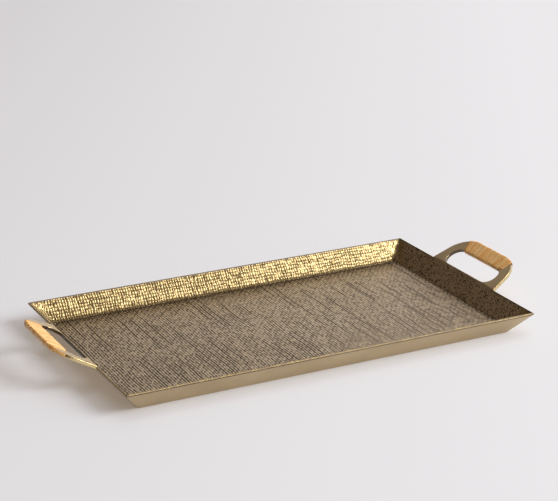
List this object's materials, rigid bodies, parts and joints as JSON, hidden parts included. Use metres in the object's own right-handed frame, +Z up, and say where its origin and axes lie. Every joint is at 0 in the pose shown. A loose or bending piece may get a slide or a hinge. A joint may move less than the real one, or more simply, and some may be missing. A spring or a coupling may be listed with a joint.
{
  "type": "serving tray",
  "caption": "Rectangular cast brass serving tray with flared walls, a woven-texture inside and two raised loop handles bound with cane.",
  "frame": {"origin": "on the table under the middle of the tray", "axes": "+X along the tray from handle to handle, +Y across it, +Z up"},
  "size_m": [0.595, 0.2996, 0.0508],
  "materials": {
    "antique_brass": "antiqued satin cast brass, polished on the rim and handle edges",
    "cane": "natural satin cane"
  },
  "bodies": {
    "root": {"tray_casting": "antique_brass", "cane_binding_left": "cane", "cane_binding_right": "cane"}
  },
  "joints": []
}
